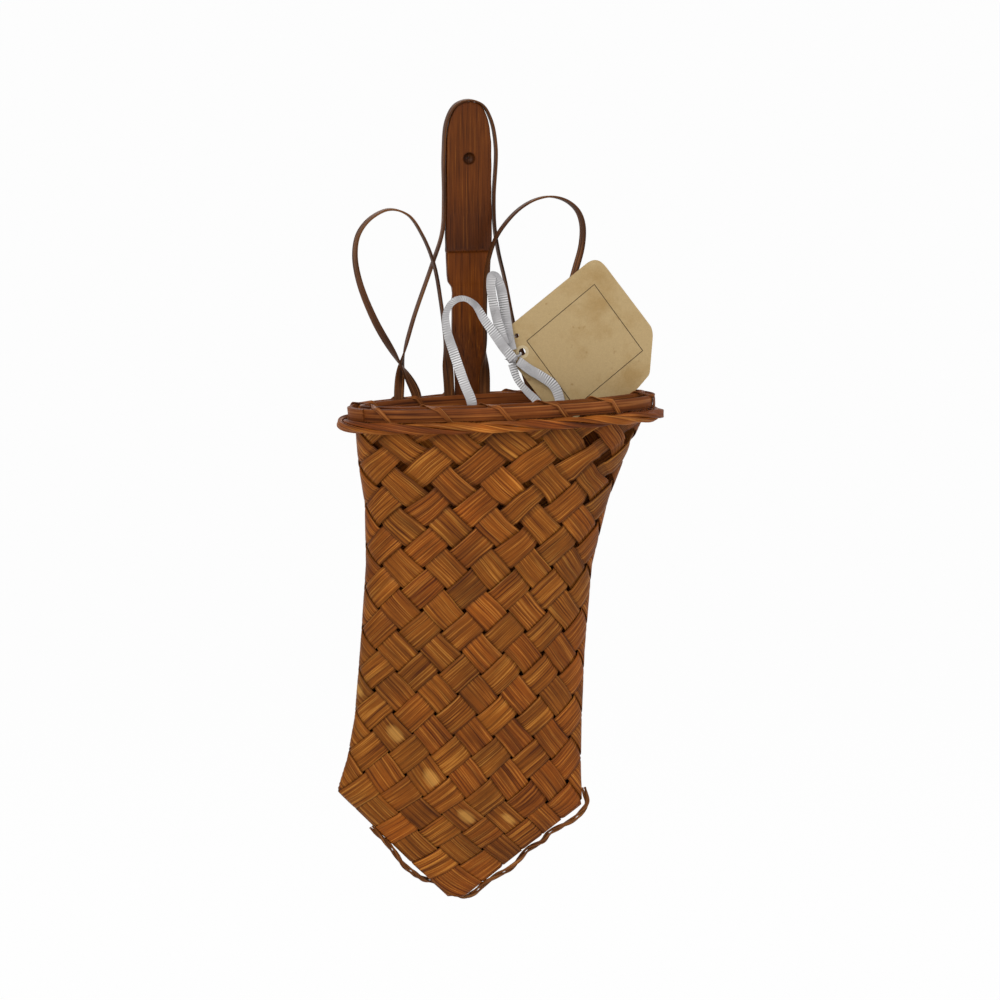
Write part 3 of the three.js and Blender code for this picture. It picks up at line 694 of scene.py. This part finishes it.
def basket_strip(node, how, slot, *strip, **more):
    piece = strip_piece(node + how, *strip, **more)
    on_basket(piece, node)
    return piece


hoop_stain = grained_strip("hoop_stain", (68, 30, 10), (120, 63, 24), (156, 94, 44), fibre=620)
ring = np.arange(0, 24, 0.1)
point, _, out, _ = rim_frame(ring, HOOP_LEVEL)
tone = 1 + waves(ring, (0.08, 1.57, 0), (0.05, 3.4, 1))
basket_strip("rim_hoop_inner", "_bent", "hoop", point + out * HOOP_IN_AT, out, tone, (HOOP_H, HOOP_IN_T, 0.4),
             hoop_stain, 3.1, closed=True)

lap = np.arange(24.2, -0.75 - 1e-6, -0.05)
point, _, out, bulge = rim_frame(lap, HOOP_LEVEL)
over_lap = LAP_T * smooth_step(-lap, -0.5, -0.05)
spots = point + out * (HOOP_OUT_AT - LAP_IN + bulge + over_lap)[:, None]
tone = 1 + waves(lap, (0.08, 1.1, 0), (0.06, 2.9, 2))
basket_strip("rim_hoop_outer", "_bent", "hoop", spots, out, tone, (HOOP_H, LAP_T, 0.35), hoop_stain, 5.2)


# Centre hoop and side loops: thin dark strips, 5 mm wide, bent by hand while wet. The centre one arches over
# the stake's top, the other two stand at its sides; all feet are tucked behind the inner hoop.
STRIP_W = 5.4
STRIP_POINTS = 220
FOOT_LOW = 24.26
FOOT_HIGH = 24.95
FOOT_RISE = 28
LOOP_Y = -13.0


def smooth_path(points, count):
    """Even points on a centripetal curve through the given ones; further columns are carried along."""
    p = np.asarray(points, dtype=float)
    p = np.vstack([2 * p[0] - p[1], p, 2 * p[-1] - p[-2]])
    dense = []
    for k in range(1, len(p) - 2):
        p0, p1, p2, p3 = p[k - 1:k + 3]
        gaps = [max(np.linalg.norm((b - a)[:3]), 1e-6) ** 0.5 for a, b in ((p0, p1), (p1, p2), (p2, p3))]
        t0, t1, t2, t3 = np.concatenate([[0], np.cumsum(gaps)])
        t = np.linspace(t1, t2, 24, endpoint=False)[:, None]

        def between(a, b, start, end):
            return (end - t) / (end - start) * a + (t - start) / (end - start) * b

        a1, a2, a3 = between(p0, p1, t0, t1), between(p1, p2, t1, t2), between(p2, p3, t2, t3)
        dense.append(between(between(a1, a2, t0, t2), between(a2, a3, t1, t3), t1, t2))
    dense = np.vstack(dense + [p[-2:-1]])
    run = run_along(dense[:, :3])
    even = np.linspace(0, run[-1], count)
    return np.stack([np.interp(even, run, dense[:, c]) for c in range(dense.shape[1])], axis=1)


def heading(points):
    return unit(np.gradient(points, axis=0))


def turns_along(degrees, count):
    """Angles along a strip from values given at even steps."""
    even = np.interp(np.linspace(0, 1, count), np.linspace(0, 1, len(degrees)), degrees)
    return np.radians(even)[:, None]


def back_point(x, level, out):
    half_x, half_y, mid_x, z, slope, _ = wall_sizes(level)
    ex = (x - mid_x) / half_x
    ey = math.sqrt(1 - ex * ex)
    normal = unit(np.array([ex / half_x, ey / half_y, 0]))
    return np.array([x, BACK_Y - half_y + half_y * ey, z + slope * (x - mid_x)]) + normal * out


def bent_strip(foot_a, foot_b, between, turned):
    """Points and face directions of a strip whose feet lie flat on the wall and whose arch stands on edge."""
    foot_at = -(WEAVE_HALF + FOOT_GAP + STRIP_T / 2)
    first = [back_point(foot_a, level, foot_at) for level in (FOOT_LOW, FOOT_HIGH)]
    last = [back_point(foot_b, level, foot_at) for level in (FOOT_HIGH, FOOT_LOW)]
    points = smooth_path(first + between + last, STRIP_POINTS)
    half_x, half_y, mid_x, _, _, _ = wall_sizes(FOOT_LOW)
    foot_z = wall_sizes(FOOT_HIGH)[3]
    rise = smooth_step(points[:, 2], foot_z, foot_z + FOOT_RISE)
    sign = np.where(np.arange(STRIP_POINTS) < STRIP_POINTS / 2, 1.0, -1.0)
    end_x = np.where(sign > 0, points[0, 0], points[-1, 0])
    lean = -(end_x - mid_x) * half_y / half_x ** 2
    wide = np.stack([sign * (1 - rise), sign * lean * (1 - rise) + rise, np.zeros(STRIP_POINTS)], axis=1)
    ahead = heading(points)
    wide = unit(wide - ahead * (wide * ahead).sum(axis=1, keepdims=True))
    angle = turns_along(turned, STRIP_POINTS)
    return points, np.cross(ahead, wide) * np.cos(angle) - wide * np.sin(angle)


hoop_side = STAKE_W / 2 + 0.35 + STRIP_T / 2
hoop_y = -STRIP_W / 2 - 0.1
# The feet's X, the way between them, and degrees by which the strip is turned along it.
STRIPS = {
    "centre_hoop": (-40.6, 29.8, [
        (-37, -12.3, RIM_Z + 23), (-30.2, -8, RIM_Z + 45), (-19.4, -3.5, RIM_Z + 72)] + [
        (x, hoop_y, z) for x, z in (
            (-hoop_side - 1.0, -27), (-hoop_side - 0.1, -10), (-hoop_side - 0.3, 12),
            (1.3 - hoop_side, STAKE_TOP - 9.4), (5.8 - hoop_side, STAKE_TOP - 1.5), (0, STAKE_TOP + 0.85),
            (hoop_side - 5.8, STAKE_TOP - 1.5), (hoop_side - 1.2, STAKE_TOP - 9.2), (hoop_side + 1.35, 15),
            (hoop_side + 0.3, -10), (hoop_side + 0.75, -25))] + [
        (hoop_side + 2.55, -3.2, RIM_Z + 79), (18, -5.4, RIM_Z + 65), (21.8, -8.5, RIM_Z + 43),
        (26.9, -12.2, RIM_Z + 21)], (0, 0)),
    "loop_left": (-30.8, -12.8, [(-40.2, LOOP_Y - 5.5, RIM_Z + 26.5), (-51.2, LOOP_Y - 3, RIM_Z + 46)] + [
        (x, LOOP_Y, RIM_Z + rise) for x, rise in (
            (-58.8, 66.3), (-61, 80), (-59.2, 90), (-53.2, 97.6), (-43.4, 102), (-33.7, 99), (-26.5, 89),
            (-20.4, 74), (-16.7, 54), (-14, 31))], (0, 24, 26, 18, 8, 0, 0, 0, 0, 0, 0)),
    "loop_right": (6, 40, [
        (x, LOOP_Y, RIM_Z + rise) for x, rise in (
            (6, 31), (6, 54), (6.8, 71), (10.8, 85), (15.5, 92.6), (23, 100.4), (31.2, 105.2), (39.6, 106.8),
            (47.8, 104.6), (53.6, 99.6), (56.2, 92.8), (56, 82.5), (52.4, 69), (46, 48))
    ] + [(41.2, LOOP_Y - 1, RIM_Z + 26)], (0, 0, 0, 0, 0, -4, -14, -18, -16, -8, 0)),
}
loop_stain = grained_strip("loop_stain", (46, 24, 10), (84, 48, 22), (128, 82, 42), fibre=1000)
for start, (node, way) in enumerate(STRIPS.items()):
    points, face = bent_strip(*way)
    tone = 1 + waves(np.arange(STRIP_POINTS), (0.12, 0.11, start), (0.08, 0.31, 0))
    basket_strip(node, "_bent", "strip", points, face, tone, (STRIP_W, STRIP_T, 0.3), loop_stain, 7.0 + start)


# Lashing: one thin split strip wound in an open spiral round both hoops, through the notches between the
# splints' ends. It starts and ends at the sides of the stake.
LASH_W = 2.4
LASH_T = 0.5
LASH_GAP = 0.35
LASH_POINTS = 900
LASH_START = 6.2
LASH_END = 28.75
face_out = HOOP_OUT_AT + HOOP_OUT_T / 2
face_in = HOOP_IN_AT - HOOP_IN_T / 2
lash_mid = (face_out + face_in) / 2
hoop_half = HOOP_H / 2
high = hoop_half + LASH_GAP
lash_out, lash_in = face_out + LASH_GAP, face_in - LASH_GAP
# One turn: distance out, height, share of the turn.
WRAP = [(lash_mid, -high, 0), (face_out, -high, 0.11), (lash_out, -hoop_half, 0.146), (lash_out, 0, 0.25),
        (lash_out, hoop_half, 0.354), (face_out, high, 0.39), (lash_mid, high, 0.5), (face_in, high, 0.61),
        (lash_in, hoop_half, 0.646), (lash_in, 0, 0.75), (lash_in, -hoop_half, 0.854), (face_in, -high, 0.89)]
lash = [(start + 2 * part, out_by, up_by) for start in range(6, 30, 2) for out_by, up_by, part in WRAP]
lash = np.array([spot for spot in lash if LASH_START < spot[0] < LASH_END])
point, up, out, bulge = rim_frame(lash[:, 0], HOOP_LEVEL)
swell = np.where(lash[:, 1] > lash_mid, bulge, 0)
spots = point + out * (lash[:, 1] + swell)[:, None] + up * lash[:, 2:3]
normal = unit(out * (lash[:, 1:2] - lash_mid) + up * lash[:, 2:3])
wound = smooth_path(np.hstack([spots, normal]), LASH_POINTS)
tone = 1 + waves(np.arange(LASH_POINTS), (0.14, 0.043, 0), (0.08, 0.131, 0))
lash_stain = grained_strip("lash_stain", (76, 36, 12), (132, 73, 28), (174, 114, 56), fibre=1100)
basket_strip("rim_lashing", "_wound", "lashing", wound[:, :3], unit(wound[:, 3:]), tone, (LASH_W, LASH_T, 0.15),
             lash_stain, 11.0)


# Rim twist: two split strips, one orange and one redder, twisted round each other in a loose rope. It lies over
# the lower half of the outer hoop and the lashing at the front and the ends, and under the hoop at the back.
TWIST_LEVEL = 24.03
TWIST_LEVEL_BACK = 23.75
TWIST_TURNS = 5
TWIST_STEPS = 80
TWIST_W = 4.3
TWIST_T = 2.3
TWIST_GAP = 0.4
TWIST_REACH = 2.98


def twisted(path, outs, ups, turns, phase, thick, gap, closed):
    """One strand of a twisted pair: points and face directions."""
    steps = np.arange(len(path)) / (len(path) if closed else len(path) - 1)
    angle = (phase + 2 * math.pi * turns * steps)[:, None]
    radial = outs * np.cos(angle) + ups * np.sin(angle)
    return path + radial * (thick + gap) / 2, radial


ring = np.arange(0, 24, 24 / (TWIST_TURNS * TWIST_STEPS))
at_back = smooth_step(12 - np.abs(2 * ring - 12), 1.6, 6)
point, up, out, bulge = rim_frame(ring, TWIST_LEVEL + (TWIST_LEVEL_BACK - TWIST_LEVEL) * at_back)
twist_front = lash_out + LASH_T / 2 + 0.35
twist_at = twist_front + (WEAVE_HALF + RIM_GAP - twist_front) * at_back + TWIST_REACH
path = point + out * (twist_at + bulge)[:, None]
for name, phase, stain in (("a", 0.0, ((92, 42, 8), (152, 82, 22), (192, 124, 52))),
                           ("b", math.pi, ((70, 30, 8), (121, 59, 16), (166, 97, 38)))):
    spots, radial = twisted(path, out, up, TWIST_TURNS, phase, TWIST_T, TWIST_GAP, True)
    tone = 1 + waves(ring, (0.12, 2.1, phase), (0.07, 5.0, 0))
    twist_stain = grained_strip("twist_stain_" + name, *stain, fibre=1000)
    basket_strip("rim_twist_" + name, "_wound", "twist_" + name, spots, radial, tone, (TWIST_W, TWIST_T, 0.6),
                 twist_stain, 13.0 + phase, closed=True)


# Base strands: a loose twisted pair of thin split strips. It loops round the right corner of the V, follows the
# folds down to the tip, passes behind it and ends tucked against the left edge.
BASE_W = 2.0
BASE_T = 1.1
BASE_GAP = 0.3
BASE_TURNS = 5
BASE_STEPS = 40
# Level on the V edge and distance from it; at the tip X, Y and height above it.
BASE_LEFT = [(4.1, 1.5), (3.6, 1.75), (3.1, 2.0), (2.6, 3.0), (2.2, 4.0), (1.7, 3.5)]
BASE_TIP = [(-25.8, -10.2, 9.4), (-18, -7.8, 7.4), (-11, -7.2, 3.6), (-4.4, -7.4, -0.4)]
BASE_RIGHT = [(0.45, 2.2), (1, 1.9), (1.6, 2.6), (2.2, 4.0), (2.7, 3.3), (3.15, 2.0), (3.6, 2.8), (3.9, 3.4),
              (4.25, 2.1), (4.8, 3.2), (5.3, 4.3), (5.7, 4.1), (6.1, 3.4), (6.4, 2.4), (6.65, 1.7)]


def along_edge(side, spots):
    points = []
    for level, reach in spots:
        low, edge, top = (wall_point(np.array([1.0]), np.array([side]), np.array([level + step]))[0]
                          for step in (-0.4, 0.0, 0.4))
        rise = top - low
        points.append(edge + unit(np.array([side * rise[2], 0, -side * rise[0]])) * reach)
    return points


tip = [(x, y, WALL[0, 4] + rise) for x, y, rise in BASE_TIP]
path = smooth_path(along_edge(-1.0, BASE_LEFT) + tip + along_edge(1.0, BASE_RIGHT), BASE_TURNS * BASE_STEPS)
ahead = heading(path)
outs = unit(np.cross((0.0, 1.0, 0.0), ahead))
ups = np.cross(ahead, outs)
base_stain = grained_strip("base_stain", (66, 32, 10), (114, 66, 26), (160, 106, 52), fibre=1100)
for name, phase in (("a", 0.0), ("b", math.pi)):
    spots, radial = twisted(path, outs, ups, BASE_TURNS, phase, BASE_T, BASE_GAP, False)
    tone = 1 + waves(np.arange(len(path)), (0.14, 0.09, phase))
    basket_strip("base_strand_" + name, "_wound", "base_strand", spots, radial, tone, (BASE_W, BASE_T, 0.35),
                 base_stain, 17.0 + phase)


# Tag: a cut card, about 64 mm square, cream with brown age spots. One corner is rounded and two are clipped; it
# has an eyelet with a paper ring, a pin hole beside it, and a thin border line printed on its front.
TAG_Y = -42.0
TAG_T = 0.6
EYELET = (17.9, -84.2, 3.6)
EYELET_RING_D = 6.6
PIN_HOLE = (15.0, -76.0, 2.4)
TAG_OUTLINE = [(10.1, -72.2), (52, -39.9), (55, -38.8), (57.8, -39.4), (60.4, -41.7), (84.5, -73.2),
               (85.3, -77), (83.6, -97), (77.2, -104.2), (45, -127.6), (42.6, -127.8), (6.5, -80.8)]
BORDER = np.array([(55, -50.9), (80.2, -85), (45.1, -112.8), (19.9, -78.7)])
BORDER_SHARE = 0.017


def softened(outline, reach):
    """Rounds each corner of a closed outline with four points."""
    spots = np.array(outline, dtype=float)
    curve = []
    for k, corner in enumerate(spots):
        before = spots[k - 1] - corner
        after = spots[(k + 1) % len(spots)] - corner
        a = corner + before * min(reach / np.linalg.norm(before), 0.4)
        b = corner + after * min(reach / np.linalg.norm(after), 0.4)
        curve += [(1 - t) ** 2 * a + 2 * t * (1 - t) * corner + t ** 2 * b for t in (0, 0.33, 0.67, 1)]
    return np.array(curve)


def cut_sheet(name, loops, front, back, material):
    """A flat piece of the tag: the first loop is its outline, the others are holes; X and Z in mm."""
    shell = bmesh.new()
    for loop in loops:
        verts = [shell.verts.new((x * MM, front * MM, z * MM)) for x, z in loop]
        for k in range(len(verts)):
            shell.edges.new((verts[k - 1], verts[k]))
    bmesh.ops.triangle_fill(shell, edges=shell.edges[:], use_beauty=True)
    grown_back = bmesh.ops.extrude_face_region(shell, geom=shell.faces[:])
    moved = [g for g in grown_back["geom"] if isinstance(g, bmesh.types.BMVert)]
    bmesh.ops.translate(shell, verts=moved, vec=(0, (back - front) * MM, 0))
    piece = new_object(name, closed_mesh(name, shell))
    piece.data.materials.append(material)
    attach(piece, "tag_card")
    return piece


def aged_card(name, pale, brown, speck):
    material, tree, skin = new_material(name)
    spot = own_place(tree)
    cloud = noise(tree, spot, 45, 5, 0.6)
    pulp = noise(tree, spot, 1500, 3, 0.7)
    colour = ramp(tree, cloud, [(0.30, srgb(*brown)), (0.50, srgb(*pale)), (0.72, srgb(*pale))])
    colour = shaded(tree, colour, spread(tree, pulp, 0.3, 0.7, 0.93, 1.05))
    specks = spread(tree, noise(tree, spot, 240, 2), 0.68, 0.76, 0.0, 0.5)
    colour = mixed(tree, "MIX", specks, colour, srgb(*speck))
    rough = spread(tree, pulp, 0.3, 0.7, 0.82, 0.68)
    surface(tree, skin, colour, rough, pulp, 0.25, 0.0002, Specular_IOR_Level=0.25)
    return material


card_front = TAG_Y - TAG_T / 2
card_paper = aged_card("aged_card", (180, 155, 112), (166, 137, 90), (140, 106, 60))
card = cut_sheet("tag_card_cut", [softened(TAG_OUTLINE, 1.6), circle(*EYELET), circle(*PIN_HOLE)],
                 card_front, TAG_Y + TAG_T / 2, card_paper)
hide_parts("tag")
ring_paper = aged_card("ring_paper", (200, 182, 146), (186, 164, 122), (160, 130, 86))
ring_loops = [circle(*EYELET[:2], EYELET_RING_D), circle(*EYELET[:2], EYELET[2] + 0.1)]
cut_sheet("tag_eyelet_ring", ring_loops, card_front - 0.12, card_front + 0.05, ring_paper)
inside = BORDER + (np.mean(BORDER, axis=0) - BORDER) * BORDER_SHARE
ink = aged_card("border_ink", (66, 52, 36), (86, 68, 46), (110, 88, 60))
cut_sheet("tag_border_line", [BORDER, inside], card_front - 0.05, card_front + 0.05, ink)


# Ribbon: crimped curling ribbon of thin white plastic, 5 mm wide, tied through the eyelet: a bow loop and three
# tails. The left tail hangs over the rim's front into the mouth, the other two hang down inside it.
RIBBON_W = 5.0
RIBBON_T = 0.3
RIBBON_POINTS = 180
CRIMP = 0.0012
FACE_TURN = np.array([0.0, -1.0, 0.1])
KNOT = np.array([11.4, -45.8, -86.4])
LUMP = np.array([15.4, -40.1, -86.6])
NECK = [(13, -45.5, -86.2), (15.2, -44.6, -85.9), (16.8, -43.2, -85.1), (17, -42, -85), (16.6, -40.8, -85.6),
        (15.6, -40.2, -86.4)]
# The far end, degrees of twist at even steps, and the way from the knot.
RIBBONS = {
    "ribbon_loop": ("knot", (10, 15, 20, -30, -45, -30, -5), [
        (11.7, -45.2, -82.9), (10.4, -44.2, -76), (9.2, -43.9, -68), (7.9, -43.9, -59.6), (6.2, -44.2, -51.4),
        (3.6, -45.4, -45.8), (1.2, -47, -45.4), (0.2, -48.2, -49.8), (1.4, -48.6, -59), (3.9, -48.6, -69),
        (7.2, -48.4, -79.6)]),
    "ribbon_tail_left": ("bare", (0, -5, -20, -55, -65, -40, -20, -10, -5, 0), [
        (11.4, -49.6, -86.8), (6.9, -49.9, -81.6), (2.4, -50.4, -75.4), (-3.8, -50.9, -66.8), (-9, -51.2, -59),
        (-14.8, -51.6, -55.9), (-20.4, -52.8, -57.4), (-24.2, -54.6, -62.5), (-24.6, -57, -70.5),
        (-21.7, -61, -82.7), (-17.7, -66.2, -97.3), (-14.8, -68.5, -105.6), (-14, -68.1, -111),
        (-13.2, -67, -117), (-12.4, -65.6, -126)]),
    "ribbon_tail_middle": ("bare", (20, 40, 30, 10, 0), [
        (11.6, -46.4, -89.6), (14, -47.6, -97.4), (18.6, -48.8, -103.4), (23.6, -50, -108.6), (27.4, -51, -117),
        (29, -51.4, -126)]),
    "ribbon_tail_right": ("bare", (20, 0, -10, 10, 0), [
        (14.6, -46.9, -88.2), (20.4, -46.6, -92.6), (26.8, -46.6, -96.4), (32.8, -46.8, -101),
        (35.6, -47.3, -107), (36.2, -48.2, -115), (35.8, -49.2, -123)]),
}


def curling_ribbon(name):
    material, tree, skin = new_material(name)
    along = attribute(tree, "along")
    crimp = calc(tree, "SINE", times(tree, along, 2 * math.pi / CRIMP))
    place = flow(tree, "ShaderNodeCombineXYZ", {0: attribute(tree, "across"), 1: along})
    cloud = noise(tree, place, 70, 2)
    colour = ramp(tree, cloud, [(0.30, srgb(164, 162, 163)), (0.50, srgb(190, 188, 189)),
                                (0.66, srgb(230, 229, 229))])
    # Painted highlight: patches along the ribbon are mixed towards near white for its satin sheen.
    painted_highlight = spread(tree, cloud, 0.46, 0.57, 0.0, 1.0)
    colour = mixed(tree, "MIX", times(tree, painted_highlight, 0.45), colour, srgb(238, 237, 237))
    # Painted shade: thin dark lines at the crimps for the shade in their grooves, only within the painted
    # highlight.
    painted_crimp_shade = times(tree, spread(tree, crimp, 0.0, 0.75, 0.0, 0.85), painted_highlight)
    colour = mixed(tree, "MIX", painted_crimp_shade, colour, srgb(92, 90, 92))
    rough = spread(tree, cloud, 0.3, 0.7, 0.24, 0.40)
    surface(tree, skin, colour, rough, crimp, 0.12, 0.0003, Transmission_Weight=0.16, IOR=1.35)
    return material


def ribbon_face(points, twist):
    """Face directions along a ribbon; the twist turns it away from the front."""
    ahead = heading(points)
    wide = unit(np.cross(ahead, FACE_TURN))
    angle = turns_along(twist, len(points))
    return np.cross(ahead, wide) * np.cos(angle) + wide * np.sin(angle)


# The knot: two ribbon turns pulled tight round the crossing, a thin neck through the eyelet, a lump behind.
ribbon_white = curling_ribbon("curling_ribbon_white")
knot_parts = []


def knot_part(points, face, section, closed):
    knot_parts.append(strip_piece("knot_part", points, face, 1.0, section, ribbon_white, closed=closed))


lean = unit(np.array([0.93, -0.12, 0.22]))
first = unit(np.cross(lean, (0.0, 0.0, 1.0)))
second = np.cross(lean, first)
angles = np.linspace(0, 2 * math.pi, 48, endpoint=False)[:, None]
for shift, reach, width in ((-0.7, 2.75, 3.4), (1.2, 2.35, 2.8)):
    ripple = reach * (1 + 0.07 * np.sin(3 * angles + shift))
    points = KNOT + lean * (shift + 0.5 * np.sin(angles))
    points = points + (first * np.cos(angles) + second * np.sin(angles)) * ripple
    knot_part(points, unit(points - KNOT), (width, 0.55, 0.2), True)
spiral = np.linspace(0, 1, 40)[:, None]
core = KNOT + lean * (spiral - 0.5) * 5.2
core = core + (first * np.cos(spiral * 9) + second * np.sin(spiral * 9)) * (1.3 - spiral * 0.3)
knot_part(core, unit(core - KNOT), (3.2, 0.7, 0.2), False)
neck = smooth_path(NECK, 30)
knot_part(neck, np.cross(heading(neck), (0, 0, 1.0)), (1.3, 0.9, 0.35), False)
around = np.hstack([1.2 * np.cos(angles), 0.35 * np.sin(2 * angles), 1.2 * np.sin(angles)])
knot_part(LUMP + around, unit(around), (1.5, 0.9, 0.35), True)
knot_shell = bmesh.new()
for part in knot_parts:
    knot_shell.from_mesh(part.data)
    bpy.data.objects.remove(part)
tied = bpy.data.meshes.new("ribbon_knot")
knot_shell.to_mesh(tied)
knot_shell.free()
tied.materials.append(ribbon_white)
tied.shade_smooth()
knot = new_object("ribbon_knot_tied", tied)
on_basket(knot, "ribbon_knot")

for start, (node, (far_end, twist, points)) in enumerate(RIBBONS.items()):
    path = smooth_path(points, RIBBON_POINTS)
    piece = basket_strip(node, "_crimped", "ribbon", path, ribbon_face(path, twist), 1.0,
                         (RIBBON_W, RIBBON_T, 0.12), ribbon_white, float(start))
